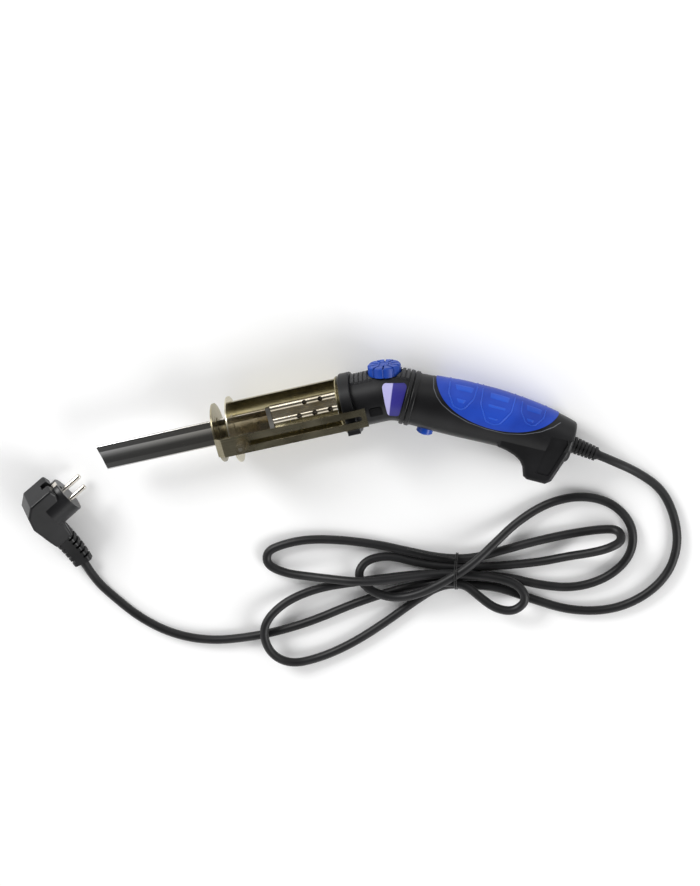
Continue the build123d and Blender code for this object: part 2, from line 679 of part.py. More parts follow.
ROUTE = [
    relief_point(-14),
    relief_point(RELIEF_LENGTH + 14),
    (270.6, -47.2, 8.5),
    (293.3, -64, FLOOR),
    (306, -89, FLOOR),
    (311, -118, FLOOR),
    (303, -148, FLOOR),
    (281, -172, FLOOR),
    (250, -187, FLOOR),
    (212, -189, FLOOR),
    (173, -178, FLOOR),
    (143, -168, FLOOR),
    # first pass through the tie, long lower left loop, second pass
    (117, -166.8, LOW),
    (90, -167, LOW),
    (64, -186, FLOOR),
    (34, -211, FLOOR),
    (2, -234, FLOOR),
    (-29, -250, FLOOR),
    (-57, -256, 8.5),
    (-77, -242, 14.4),
    (-83, -215, 14.4),
    (-63, -192, 8.5),
    (-30, -177, FLOOR),
    (6, -169.5, FLOOR),
    (40, -163, FLOOR),
    (68, -158.5, FLOOR),
    (91, -157.8, LOW),
    (117, -157.6, LOW),
    # large right loop, then over everything as the third pass
    (150, -157, FLOOR),
    (183, -164.5, FLOOR),
    (216, -166, FLOOR),
    (247, -154, FLOOR),
    (268, -131, FLOOR),
    (269, -102, FLOOR),
    (250, -80, FLOOR),
    (221, -73, FLOOR),
    (189, -81, FLOOR),
    (160, -101, 6),
    (138, -123, 14),
    (118, -142, TOP),
    (90, -161, TOP),
    # small left loop, fourth pass
    (67, -175, 17),
    (44, -181, 13.8),
    (21, -174, 13.8),
    (9, -159, 13.4),
    (17, -145, 8),
    (39, -140.5, 4.8),
    (66, -147, FLOOR),
    (91, -149.2, LOW),
    (118, -149, LOW),
    # narrow right loop that folds over on itself, fifth pass
    (151, -145.8, FLOOR),
    (183, -141, FLOOR),
    (208, -133, 8),
    (230, -125, 18),
    (246, -118, 24),
    (259, -112, 18),
    (255, -105, 5),
    (237, -106, FLOOR),
    (208, -112, FLOOR),
    (176, -121, FLOOR),
    (144, -132, FLOOR),
    (117, -140.5, LOW),
    (88, -141, LOW),
    # long upper left loop, over the small loop, sixth pass
    (58, -136, FLOOR),
    (26, -130, FLOOR),
    (-10, -127, FLOOR),
    (-40, -128, FLOOR),
    (-63, -134, FLOOR),
    (-79, -142, FLOOR),
    (-79, -156, FLOOR),
    (-60, -163, 6.5),
    (-34, -163.5, 11),
    (-8, -162.5, 19),
    (9, -161.8, 23.4),
    (28, -161, 23.4),
    (56, -158.5, 17),
    (88, -153.8, DECK),
    (117, -153.4, DECK),
    # small right loop on top, seventh pass
    (142, -155, 13.6),
    (163, -161, 13.6),
    (172, -176, 13.6),
    (160, -189, 13.6),
    (142, -187, 13.6),
    (126, -175, 13.8),
    (112, -163, DECK + 0.4),
    (90, -162, DECK),
    # out to the plug
    (65, -169, 6.5),
    (36, -179, FLOOR),
    (2, -193, FLOOR),
    (-32, -210, FLOOR),
    (-66, -223, FLOOR),
    (-100, -232, FLOOR),
    (-136, -237, FLOOR),
    (-172, -232, FLOOR),
    (-204, -217, FLOOR),
    (-231, -195, FLOOR),
    (-249, -178, FLOOR),
    (-258.6, -159.6, 6.0),
]


def corner_radii(points):
    """Largest tangent arc that each corner leaves room for."""
    radii = []
    for before, corner, after in zip(points, points[1:], points[2:]):
        turn = math.radians((corner - before).get_angle(after - corner))
        shorter = min((corner - before).length, (after - corner).length)
        radii.append(0.45 * shorter / math.tan(turn / 2))
    return radii


def power_cord():
    points = [Vector(p) for p in ROUTE]
    radii = corner_radii(points)
    print("cord radii", [round(r) for r in radii])
    path = FilletPolyline(*points, radius=radii)
    tube = sweep(Plane(origin=path @ 0, z_dir=path % 0) * Circle(CORD_D / 2), path)
    section = math.pi * CORD_D**2 / 4
    print("cord length", path.length, "volume ratio", tube.volume / (section * path.length))
    return tube


parts["power_cord"] = power_cord()


def twist_tie():
    """Coated wire round the seven strands, ends twisted together above them."""
    loop = [
        (TIE_X, -171, 0.55),
        (TIE_X, -135.8, 0.55),
        (TIE_X, -135.2, 9),
        (TIE_X, -143.0, 24.5),
        (TIE_X, -148.0, 27.4),
        (TIE_X, -155.0, 27.4),
        (TIE_X, -166.0, 20.0),
        (TIE_X, -171.6, 8),
    ]
    ring = FilletPolyline(*loop, radius=1.6, close=True)
    wire = sweep(Plane(origin=ring @ 0, z_dir=ring % 0) * Circle(0.45), ring)
    tail = [
        (TIE_X - 0.3, -138.0, 15.6),
        (94, -135.5, 15.2),
        (82, -134.6, 13.0),
        (70, -133.4, 12.2),
        (56, -131, 10.6),
    ]
    tail_path = FilletPolyline(*tail, radius=3.0)
    return wire + sweep(Plane(origin=tail_path @ 0, z_dir=tail_path % 0) * Circle(0.8), tail_path)


parts["twist_tie"] = twist_tie()

# CEE 7/7 angled plug: 4.8 mm pins 19 mm apart, cord leaving square to the pins
PIN_RADIUS = 2.4
PIN_LENGTH = 19.0
PIN_SPACING = 19.0
PIN_ROOT = 8.0
PIN_ROOT_R = 2.0
PIN_STEP = 0.6
PLUG_FRONT_R = 18.4
PLUG_FRONT = 24.0
EARTH_Y = 17.0
# Housing outline in the plane of the pins' direction and the cord's, cord side negative
HOUSING_OUTLINE = [
    (-5, 17),
    (-6, 25),
    (-31, 25.5),
    (-41, 17),
    (-46, 3),
    (-45, -21),
    (-44, -30),
    (-25, -30),
    (-22, -18),
]
HOUSING_HALF = 14.5
# Boot stations after the housing: along the pins, along the cord, height, half width, half thickness
BOOT_WIDTHS = [(9.8, 9.0), (9.8, 8.4), (9.7, 7.2), (9.4, 5.8)]
BOOT_SLOTS = 5


def boot_path():
    turn = Rot(0, 0, PLUG_TURN)
    middle = (turn * Pos(-39.8, -45.0, 0)).position
    centres = [
        (PLUG * Pos(-33.5, -14, 0)).position,
        (PLUG * Pos(-34.5, -27, 0)).position,
        Vector(PLUG_FACE.X + middle.X, PLUG_FACE.Y + middle.Y, 8.8),
        Vector(*ROUTE[-1]),
    ]
    return Spline(*centres)


def boot_plane(path, spot):
    """Section plane with its x axis level, across the boot."""
    run = path % spot
    across = run.cross(Vector(0, 0, 1))
    return Plane(origin=path @ spot, x_dir=across, z_dir=run)


def plug_boot():
    """Flat boot that bends down to the cord, notched along both edges."""
    path = boot_path()
    faces = []
    for k, (half_width, half_thick) in enumerate(BOOT_WIDTHS):
        plane = boot_plane(path, k / (len(BOOT_WIDTHS) - 1))
        faces.append(plane * RectangleRounded(2 * half_width, 2 * half_thick, 3.6))
    boot = loft(faces)
    for k in range(BOOT_SLOTS):
        here = boot_plane(path, 0.42 + 0.115 * k)
        for side in (-1, 1):
            boot = boot - here * Pos(side * 9.6, 0, 0) * Box(9.6, 30, 2.3)
    last_run = Vector(*ROUTE[-1]) - Vector(*ROUTE[-2])
    cord_end = Plane(origin=Vector(*ROUTE[-1]), z_dir=last_run)
    return boot - cord_end * Pos(0, 0, -2) * Cylinder(CORD_D / 2 + 0.05, 4.0)


def plug_body():
    front = x_cylinder(PLUG_FRONT_R, -PLUG_FRONT, 0)
    front = fillet(front.edges().group_by(Axis.X)[-1], 0.8)
    outline = make_face(Polyline(*HOUSING_OUTLINE, close=True))
    outline = fillet(outline.vertices(), 2.4)
    housing = Pos(0, 0, -HOUSING_HALF) * extrude(outline, 2 * HOUSING_HALF)
    housing = fillet(housing.edges().group_by(Axis.Z)[-1] + housing.edges().group_by(Axis.Z)[0], 2.2)
    body = front + housing
    for side in (-1, 1):
        y0, y1 = sorted((side * EARTH_Y, side * 30))
        body = body - block(-13, 1, y0, y1, -3.6, 3.6)
        body = body - x_cylinder(PIN_ROOT_R, -PIN_ROOT, 1, 0, side * PIN_SPACING / 2)
    body = body - x_cylinder(2.5, -14, 1, 10.0, 0)
    return PLUG * body + plug_boot()


def plug_pins():
    made = []
    for side in (-1, 1):
        pin = x_cylinder(PIN_RADIUS, PIN_STEP, PIN_LENGTH, 0, side * PIN_SPACING / 2)
        pin = fillet(pin.edges().group_by(Axis.X)[-1], 1.6)
        root = x_cylinder(PIN_ROOT_R, -PIN_ROOT, PIN_STEP, 0, side * PIN_SPACING / 2)
        made.append(PLUG * (pin + root))
    return Compound(children=made)


def plug_clips():
    made = []
    for side in (-1, 1):
        y0, y1 = sorted((side * EARTH_Y, side * (EARTH_Y + 0.9)))
        made.append(PLUG * block(-13, 0, y0, y1, -3.0, 3.0))
    return Compound(children=made)


parts["plug_body"] = plug_body()
parts["plug_pins"] = plug_pins()
parts["plug_earth_clips"] = plug_clips()

for name, shape in parts.items():
    export_step(shape, f"parts/{name}.step")
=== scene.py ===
import json
import math

import bmesh
import bpy
from mathutils import Matrix, Vector
from mathutils.bvhtree import BVHTree

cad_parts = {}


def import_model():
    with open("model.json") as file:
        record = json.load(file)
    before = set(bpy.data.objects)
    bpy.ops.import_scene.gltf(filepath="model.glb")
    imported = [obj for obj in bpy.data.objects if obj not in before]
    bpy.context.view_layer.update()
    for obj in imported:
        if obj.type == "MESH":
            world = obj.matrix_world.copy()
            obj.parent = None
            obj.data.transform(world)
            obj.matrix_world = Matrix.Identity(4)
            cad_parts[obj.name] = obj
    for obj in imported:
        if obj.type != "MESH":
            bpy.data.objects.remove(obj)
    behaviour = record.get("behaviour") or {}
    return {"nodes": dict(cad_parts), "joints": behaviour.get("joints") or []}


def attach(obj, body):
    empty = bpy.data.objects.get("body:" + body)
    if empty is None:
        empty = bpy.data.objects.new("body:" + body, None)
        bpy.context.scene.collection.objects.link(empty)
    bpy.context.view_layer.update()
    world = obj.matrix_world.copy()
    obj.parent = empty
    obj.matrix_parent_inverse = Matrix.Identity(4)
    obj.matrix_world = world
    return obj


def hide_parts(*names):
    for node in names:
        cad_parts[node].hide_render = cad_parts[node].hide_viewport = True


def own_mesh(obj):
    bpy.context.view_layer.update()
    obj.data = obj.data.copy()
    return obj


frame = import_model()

for startup in ("Cube", "Light", "Camera"):
    if startup in bpy.data.objects:
        bpy.data.objects.remove(bpy.data.objects[startup])
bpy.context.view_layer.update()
NODES = frame["nodes"]
JOINTS = {joint["name"]: joint for joint in frame["joints"]}
MM = 0.001
TAU = 2 * math.pi


# ---- frames read from the joints: X along the tool, Y away from the guide, Z to the dial ----
def joint_axis(name):
    return Vector(JOINTS[name]["axis"]).normalized()


def frame_at(origin, x_axis, y_axis):
    z_axis = x_axis.cross(y_axis).normalized()
    y_axis = z_axis.cross(x_axis).normalized()
    turn = Matrix((x_axis, y_axis, z_axis)).transposed().to_4x4()
    return Matrix.Translation(origin) @ turn


ELBOW = Vector(JOINTS["head_swivel"]["pos_m"])
FAR_WAY = -joint_axis("thumb_nut_turn")
HEAD = frame_at(ELBOW, -joint_axis("guide_slide"), FAR_WAY)
HANDLE = frame_at(ELBOW, joint_axis("head_swivel"), FAR_WAY)


def in_frame(basis, x, y, z):
    """Point given in millimetres in the head's or handle's frame."""
    return basis @ Vector((x * MM, y * MM, z * MM))


# ---- camera: high above, looking down on the tool ----
LOOK_FROM = Vector((0.1165, 0.292, 0.949)).normalized()
PICTURE_UP = Vector((-0.0356, 0.9562, -0.2898)).normalized()
PICTURE_RIGHT = PICTURE_UP.cross(LOOK_FROM).normalized()
CAMERA_DISTANCE = 2.0
AIM_LEFT = 0.0398
AIM_BELOW = 0.0459


def add_camera():
    data = bpy.data.cameras.new("camera")
    data.sensor_fit = "AUTO"
    data.sensor_width = 36.0
    data.lens = 88.33
    data.clip_end = 20
    camera = bpy.data.objects.new("camera", data)
    place = ELBOW + CAMERA_DISTANCE * LOOK_FROM - AIM_LEFT * PICTURE_RIGHT - AIM_BELOW * PICTURE_UP
    turn = Matrix((PICTURE_RIGHT, PICTURE_UP, LOOK_FROM)).transposed().to_4x4()
    camera.matrix_world = Matrix.Translation(place) @ turn
    bpy.context.scene.collection.objects.link(camera)
    bpy.context.scene.camera = camera


add_camera()

# ---- mains cord: the route's points, in metres ----
ROUTE = [
    (0.19528, -0.01352, 0.02006),
    (0.22676, -0.02625, 0.01835),
    (0.24528, -0.03374, 0.01734),
    (0.2706, -0.0472, 0.0085),
    (0.2933, -0.064, 0.0043),
    (0.306, -0.089, 0.0043),
    (0.311, -0.118, 0.0043),
    (0.303, -0.148, 0.0043),
    (0.281, -0.172, 0.0043),
    (0.25, -0.187, 0.0043),
    (0.212, -0.189, 0.0043),
    (0.173, -0.178, 0.0043),
    (0.143, -0.168, 0.0043),
    # first pass through the tie, long lower left loop, second pass
    (0.117, -0.1668, 0.0054),
    (0.09, -0.167, 0.0054),
    (0.064, -0.186, 0.0043),
    (0.034, -0.211, 0.0043),
    (0.002, -0.234, 0.0043),
    (-0.029, -0.25, 0.0043),
    (-0.057, -0.256, 0.0085),
    (-0.077, -0.242, 0.0144),
    (-0.083, -0.215, 0.0144),
    (-0.063, -0.192, 0.0085),
    (-0.03, -0.177, 0.0043),
    (0.006, -0.1695, 0.0043),
    (0.04, -0.163, 0.0043),
    (0.068, -0.1585, 0.0043),
    (0.091, -0.1578, 0.0054),
    (0.117, -0.1576, 0.0054),
    # large right loop, then over everything as the third pass
    (0.15, -0.157, 0.0043),
    (0.183, -0.1645, 0.0043),
    (0.216, -0.166, 0.0043),
    (0.247, -0.154, 0.0043),
    (0.268, -0.131, 0.0043),
    (0.269, -0.102, 0.0043),
    (0.25, -0.08, 0.0043),
    (0.221, -0.073, 0.0043),
    (0.189, -0.081, 0.0043),
    (0.16, -0.101, 0.006),
    (0.138, -0.123, 0.014),
    (0.118, -0.142, 0.022),
    (0.09, -0.161, 0.022),
    # small left loop, fourth pass
    (0.067, -0.175, 0.017),
    (0.044, -0.181, 0.0138),
    (0.021, -0.174, 0.0138),
    (0.009, -0.159, 0.0134),
    (0.017, -0.145, 0.008),
    (0.039, -0.1405, 0.0048),
    (0.066, -0.147, 0.0043),
    (0.091, -0.1492, 0.0054),
    (0.118, -0.149, 0.0054),
    # narrow right loop that folds over on itself, fifth pass
    (0.151, -0.1458, 0.0043),
    (0.183, -0.141, 0.0043),
    (0.208, -0.133, 0.008),
    (0.23, -0.125, 0.018),
    (0.246, -0.118, 0.024),
    (0.259, -0.112, 0.018),
    (0.255, -0.105, 0.005),
    (0.237, -0.106, 0.0043),
    (0.208, -0.112, 0.0043),
    (0.176, -0.121, 0.0043),
    (0.144, -0.132, 0.0043),
    (0.117, -0.1405, 0.0054),
    (0.088, -0.141, 0.0054),
    # long upper left loop, over the small loop, sixth pass
    (0.058, -0.136, 0.0043),
    (0.026, -0.13, 0.0043),
    (-0.01, -0.127, 0.0043),
    (-0.04, -0.128, 0.0043),
    (-0.063, -0.134, 0.0043),
    (-0.079, -0.142, 0.0043),
    (-0.079, -0.156, 0.0043),
    (-0.06, -0.163, 0.0065),
    (-0.034, -0.1635, 0.011),
    (-0.008, -0.1625, 0.019),
    (0.009, -0.1618, 0.0234),
    (0.028, -0.161, 0.0234),
    (0.056, -0.1585, 0.017),
    (0.088, -0.1538, 0.0131),
    (0.117, -0.1534, 0.0131),
    # small right loop on top, seventh pass
    (0.142, -0.155, 0.0136),
    (0.163, -0.161, 0.0136),
    (0.172, -0.176, 0.0136),
    (0.16, -0.189, 0.0136),
    (0.142, -0.187, 0.0136),
    (0.126, -0.175, 0.0138),
    (0.112, -0.163, 0.0135),
    (0.09, -0.162, 0.0131),
    # out to the plug
    (0.065, -0.169, 0.0065),
    (0.036, -0.179, 0.0043),
    (0.002, -0.193, 0.0043),
    (-0.032, -0.21, 0.0043),
    (-0.066, -0.223, 0.0043),
    (-0.1, -0.232, 0.0043),
    (-0.136, -0.237, 0.0043),
    (-0.172, -0.232, 0.0043),
    (-0.204, -0.217, 0.0043),
    (-0.231, -0.195, 0.0043),
    (-0.249, -0.178, 0.0043),
    (-0.2586, -0.1596, 0.006),
]
CORD_DIAMETER = 0.0084


def link(name, data):
    made = bpy.data.objects.new(name, data)
    bpy.context.scene.collection.objects.link(made)
    return made


def smooth_curve(name, points, radius):
    """NURBS curve with the given control points and a round section."""
    data = bpy.data.curves.new(name, "CURVE")
    data.dimensions = "3D"
    data.bevel_depth = 1.0
    data.bevel_resolution = 5
    data.resolution_u = 12
    data.use_fill_caps = True
    spline = data.splines.new("NURBS")
    spline.points.add(len(points) - 1)
    for spot, point in zip(spline.points, points):
        spot.co = (*point, 1.0)
        spot.radius = radius
    spline.order_u = 3
    spline.use_endpoint_u = True
    return link(name, data)


def power_cord():
    run = smooth_curve("power_cord_run", ROUTE, CORD_DIAMETER / 2)
    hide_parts("power_cord")
    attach(run, "handle")
    return run


CORD = power_cord()


# ---- materials ----
class Look:
    """Node tree helper for one procedural material."""

    def __init__(self, name, roughness=0.5, metallic=0.0):
        self.material = bpy.data.materials.new(name)
        self.material.use_nodes = True
        self.tree = self.material.node_tree
        self.shader = self.tree.nodes["Principled BSDF"]
        self.shader.inputs["Roughness"].default_value = roughness
        self.shader.inputs["Metallic"].default_value = metallic
        if not metallic:
            self.shader.inputs["Specular IOR Level"].default_value = 0.3
        self.coords = self.tree.nodes.new("ShaderNodeTexCoord").outputs["Object"]

    def node(self, kind, **values):
        made = self.tree.nodes.new(kind)
        for key, value in values.items():
            setattr(made, key, value)
        return made

    def join(self, source, target):
        self.tree.links.new(source, target)

    def placed(self, basis=None, scale=(1, 1, 1)):
        """Object coordinates in a body's frame, then scaled."""
        mapping = self.node("ShaderNodeMapping")
        source = self.coords
        if basis is not None:
            back = self.node("ShaderNodeMapping", vector_type="TEXTURE")
            back.inputs["Location"].default_value = basis.to_translation()
            back.inputs["Rotation"].default_value = basis.to_euler()
            self.join(source, back.inputs["Vector"])
            source = back.outputs["Vector"]
        mapping.inputs["Scale"].default_value = scale
        self.join(source, mapping.inputs["Vector"])
        return mapping.outputs["Vector"]

    def noise(self, scale, detail=3.0, vector=None):
        made = self.node("ShaderNodeTexNoise")
        made.inputs["Scale"].default_value = scale
        made.inputs["Detail"].default_value = detail
        self.join(self.coords if vector is None else vector, made.inputs["Vector"])
        return made.outputs["Fac"]

    def ramp(self, source, *stops):
        made = self.node("ShaderNodeValToRGB")
        elements = made.color_ramp.elements
        while len(elements) < len(stops):
            elements.new(0.5)
        for element, (position, color) in zip(elements, stops):
            element.position = position
            element.color = (*color, 1.0)
        self.join(source, made.inputs["Fac"])
        return made.outputs["Color"]

    def color(self, source):
        self.join(source, self.shader.inputs["Base Color"])

    def roughness(self, source, low, high):
        made = self.node("ShaderNodeMapRange")
        made.inputs["To Min"].default_value = low
        made.inputs["To Max"].default_value = high
        self.join(source, made.inputs["Value"])
        self.join(made.outputs["Result"], self.shader.inputs["Roughness"])

    def bump(self, source, strength, distance):
        made = self.node("ShaderNodeBump")
        made.inputs["Strength"].default_value = strength
        made.inputs["Distance"].default_value = distance
        self.join(source, made.inputs["Height"])
        self.join(made.outputs["Normal"], self.shader.inputs["Normal"])


def moulded(name, dark, light, roughness, grain=2600.0, depth=0.00006):
    """Moulded plastic: soft tone drift, fine spark-eroded grain."""
    look = Look(name, roughness)
    drift = look.noise(34.0, 4.0)
    look.color(look.ramp(drift, (0.35, dark), (0.68, light)))
    fine = look.noise(grain, 2.0)
    look.roughness(fine, roughness - 0.06, roughness + 0.1)
    look.bump(fine, 0.35, depth)
    return look


def rubber(name, dark, light, roughness, sheen=0.15):
    """Soft rubber with a dusty sheen and faint pitting."""
    look = moulded(name, dark, light, roughness, 1500.0, 0.00008)
    look.shader.inputs["Sheen Weight"].default_value = sheen
    look.shader.inputs["Sheen Roughness"].default_value = 0.5
    return look


def drawn_metal(name, dark, light, roughness, basis, along=(25, 900, 900), depth=0.00002):
    """Sheet metal with rolling lines along the tool and cloudy plating."""
    look = Look(name, roughness, 1.0)
    lines = look.noise(1.0, 3.0, look.placed(basis, along))
    clouds = look.noise(30.0, 4.0)
    mix = look.node("ShaderNodeMath", operation="MULTIPLY_ADD")
    mix.inputs[1].default_value = 0.4
    look.join(lines, mix.inputs[0])
    look.join(clouds, mix.inputs[2])
    look.color(look.ramp(mix.outputs[0], (0.45, dark), (0.85, light)))
    look.roughness(clouds, roughness - 0.07, roughness + 0.1)
    look.bump(lines, 0.25, depth)
    return look


def label_print():
    """Violet label, plain pale lilac towards the blade; no print."""
    look = Look("label_print", 0.28)
    where = look.node("ShaderNodeSeparateXYZ")
    look.join(look.placed(HEAD, (1000, 1000, 1000)), where.inputs["Vector"])
    slant = look.node("ShaderNodeMath", operation="MULTIPLY_ADD")
    slant.inputs[1].default_value = -0.375
    look.join(where.outputs["Z"], slant.inputs[0])
    look.join(where.outputs["X"], slant.inputs[2])
    band = look.node("ShaderNodeMapRange")
    band.inputs["From Min"].default_value = -18.0
    band.inputs["From Max"].default_value = 22.0
    look.join(slant.outputs[0], band.inputs["Value"])
    violet = (0.035, 0.03, 0.22)
    lilac = (0.42, 0.4, 0.68)
    stops = [(0.0, lilac), (0.42, lilac), (0.44, violet), (1.0, (0.02, 0.018, 0.15))]
    look.color(look.ramp(band.outputs["Result"], *stops))
    fine = look.noise(3000.0)
    look.roughness(fine, 0.22, 0.36)
    look.bump(fine, 0.1, 0.00003)
    return look


def blade_steel():
    """Mirror bar: fine lengthwise polish marks, faint straw tint towards the heater."""
    look = Look("blade_steel", 0.12, 1.0)
    where = look.node("ShaderNodeSeparateXYZ")
    look.join(look.placed(HEAD), where.inputs["Vector"])
    heat = look.node("ShaderNodeMapRange")
    heat.inputs["From Min"].default_value = -0.28
    heat.inputs["From Max"].default_value = -0.12
    look.join(where.outputs["X"], heat.inputs["Value"])
    stops = [(0.0, (0.62, 0.62, 0.62)), (0.7, (0.6, 0.58, 0.53)), (1.0, (0.5, 0.42, 0.3))]
    look.color(look.ramp(heat.outputs["Result"], *stops))
    lines = look.noise(1.0, 3.0, look.placed(HEAD, (30, 1400, 1400)))
    look.roughness(lines, 0.06, 0.2)
    look.bump(lines, 0.12, 0.00002)
    return look


BLACK = moulded("satin_black", (0.004, 0.004, 0.0045), (0.009, 0.009, 0.01), 0.36)
PAD = rubber("pad_grey", (0.016, 0.016, 0.018), (0.03, 0.03, 0.033), 0.5, 0.1)
DIAL = moulded("dial_blue", (0.008, 0.045, 0.3), (0.014, 0.07, 0.42), 0.36)
GRIP = rubber("grip_blue", (0.006, 0.036, 0.32), (0.011, 0.058, 0.44), 0.42, 0.05)
# Painted highlight: the raised marks are the grip's own blue, drawn in a lighter copy of it for light on
# the ridges
GRIP_MARK_PAINTED_HIGHLIGHT = rubber("grip_relief", (0.01, 0.06, 0.42), (0.018, 0.09, 0.55), 0.36, 0.05)
# Painted highlight: grey for the thin light line along the handle shell just below the grip
HIGHLIGHT_PAINT = moulded("grip_edge_painted_highlight", (0.06, 0.065, 0.075), (0.13, 0.135, 0.15), 0.4)
BUTTON = moulded("button_blue", (0.008, 0.05, 0.34), (0.016, 0.09, 0.5), 0.25)
ZINC = drawn_metal("zinc_sheet", (0.2, 0.175, 0.1), (0.5, 0.45, 0.29), 0.2, HEAD)
FLANGE = drawn_metal("flange_sheet", (0.17, 0.145, 0.08), (0.42, 0.37, 0.23), 0.22, HEAD)
GUARD = drawn_metal("guard_sheet", (0.52, 0.48, 0.36), (0.78, 0.74, 0.6), 0.24, HEAD)
ARM = drawn_metal("arm_sheet", (0.2, 0.175, 0.11), (0.45, 0.41, 0.29), 0.26, HEAD)
SLEEVE = drawn_metal("sleeve_metal", (0.62, 0.55, 0.42), (0.86, 0.8, 0.68), 0.26, HEAD)
BLADE = blade_steel()
BRASS = drawn_metal("nut_brass", (0.2, 0.17, 0.11), (0.42, 0.37, 0.26), 0.3, HEAD, (700, 700, 700))
STEEL = drawn_metal("plated_steel", (0.4, 0.4, 0.4), (0.62, 0.62, 0.62), 0.3, HANDLE)
NICKEL = drawn_metal("nickel_pin", (0.5, 0.47, 0.42), (0.75, 0.71, 0.65), 0.2, HANDLE, (80, 80, 80))
CERAMIC = moulded("fired_ceramic", (0.62, 0.57, 0.48), (0.8, 0.76, 0.68), 0.7, 900.0, 0.0001)
MICA = moulded("dark_mica", (0.03, 0.024, 0.018), (0.09, 0.075, 0.055), 0.5, 700.0, 0.0001)
RUBBER = rubber("cord_rubber", (0.005, 0.005, 0.0055), (0.012, 0.012, 0.013), 0.42, 0.08)
TIE = moulded("tie_coating", (0.01, 0.01, 0.01), (0.03, 0.03, 0.03), 0.3, 1800.0)
PLUG = moulded("plug_black", (0.005, 0.005, 0.0055), (0.013, 0.013, 0.014), 0.3, 1800.0)
LABEL = label_print()
BOARD = moulded("board_green", (0.01, 0.09, 0.035), (0.02, 0.14, 0.06), 0.4, 400.0)
PARTS = moulded("part_body", (0.03, 0.03, 0.04), (0.08, 0.09, 0.12), 0.4, 800.0)

NODE_LOOKS = {
    BLACK: [
        "head_shell_near",
        "head_shell_far",
        "collar",
        "swivel_ring",
        "handle_shell_near",
        "handle_shell_far",
    ],
    PAD: ["rib_pads"],
    LABEL: ["name_plate"],
    DIAL: ["control_knob"],
    BUTTON: ["trigger_button"],
    GRIP: ["grip_near", "grip_far"],
    ZINC: ["heat_shield"],
    FLANGE: ["front_flange"],
    GUARD: ["guard_disc", "guide_stud"],
    ARM: ["guide_arm"],
    SLEEVE: ["heater_sleeve_near", "heater_sleeve_far"],
    BLADE: ["blade"],
    BRASS: ["thumb_nut"],
    CERAMIC: ["tang_insulator"],
    MICA: ["heater_core"],
    STEEL: ["head_screws", "handle_screws", "flange_screws", "tang_pin", "trigger_spring", "blade_clip"],
    RUBBER: ["strain_relief"],
    PLUG: ["plug_body"],
    NICKEL: ["plug_pins", "plug_earth_clips"],
    BOARD: ["control_board"],
    PARTS: ["board_components", "switch_body", "dial_potentiometer", "terminal_block", "cord_clamp"],
}


def dress(target, look):
    if not target.material_slots:
        target.data.materials.append(look.material)
    for slot in target.material_slots:
        slot.material = look.material


for look, names in NODE_LOOKS.items():
    for name in names:
        dress(NODES[name], look)
dress(CORD, RUBBER)


# ---- raised strips laid on a CAD surface ----
def surface_of(node):
    mesh = NODES[node].data
    return BVHTree.FromPolygons([v.co for v in mesh.vertices], [p.vertices for p in mesh.polygons])


def resampled(points, step):
    """Evenly spaced points along a polyline."""
    out = []
    for a, b in zip(points, points[1:]):
        count = max(1, round(math.dist(a, b) / step))
        out += [(a[0] + (b[0] - a[0]) * k / count, a[1] + (b[1] - a[1]) * k / count) for k in range(count)]
    return out + [points[-1]]


def rounded(points, passes):
    """Softens corners by averaging neighbours; the ends stay."""
    for _ in range(passes):
        middle = []
        for before, here, after in zip(points, points[1:], points[2:]):
            middle.append(tuple((before[i] + 2 * here[i] + after[i]) / 4 for i in (0, 1)))
        points = [points[0], *middle, points[-1]]
    return points


STRIP_PROFILE = [(-1.0, -0.35), (-0.72, 0.75), (0.0, 1.0), (0.72, 0.75), (1.0, -0.35)]
STRIP_STEP = 0.8
GRIP_AXIS_Z = 1.5
CAST_FROM = 60
# Millimetres of skin per degree round the grip
ARC = 0.45
DEGREE = math.pi / 180


def on_skin(tree, side, x, angle):
    """Surface point seen from outside, x along the handle, angle from the top down one side."""
    turn = angle * DEGREE
    outward = Vector((0, side * math.sin(turn), math.cos(turn)))
    start = in_frame(HANDLE, x, CAST_FROM * outward.y, GRIP_AXIS_Z + CAST_FROM * outward.z)
    hit, normal, _, _ = tree.ray_cast(start, HANDLE.to_3x3() @ -outward)
    return hit, normal


def finish_mesh(name, mesh, body, look):
    bmesh.ops.recalc_face_normals(mesh, faces=mesh.faces)
    data = bpy.data.meshes.new(name)
    mesh.to_mesh(data)
    mesh.free()
    for face in data.polygons:
        face.use_smooth = True
    made = link(name, data)
    dress(made, look)
    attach(made, body)


def strips(mesh, tree, side, outlines, width, height):
    """Low rounded bars along outlines given in x and degrees, laid on one node's skin."""
    for outline in outlines:
        path = rounded(resampled([(x, angle * ARC) for x, angle in outline], STRIP_STEP), 3)
        rings = []
        for k, (x, arc) in enumerate(path):
            before = path[max(k - 1, 0)]
            after = path[min(k + 1, len(path) - 1)]
            run = Vector((after[0] - before[0], after[1] - before[1]))
            run.normalize()
            ring = []
            for across, rise in STRIP_PROFILE:
                px = x - run.y * across * width / 2
                angle = (arc + run.x * across * width / 2) / ARC
                hit, normal = on_skin(tree, side, px, angle)
                if hit is None:
                    ring = None
                    break
                ring.append(mesh.verts.new(hit + normal * rise * height * MM))
            rings.append(ring)
        for a, b in zip(rings, rings[1:]):
            if a is None or b is None:
                continue
            for k in range(len(STRIP_PROFILE)):
                other = (k + 1) % len(STRIP_PROFILE)
                mesh.faces.new((a[k], a[other], b[other], b[k]))
        if rings[0] and rings[-1]:
            mesh.faces.new(rings[0][::-1])
            mesh.faces.new(rings[-1])


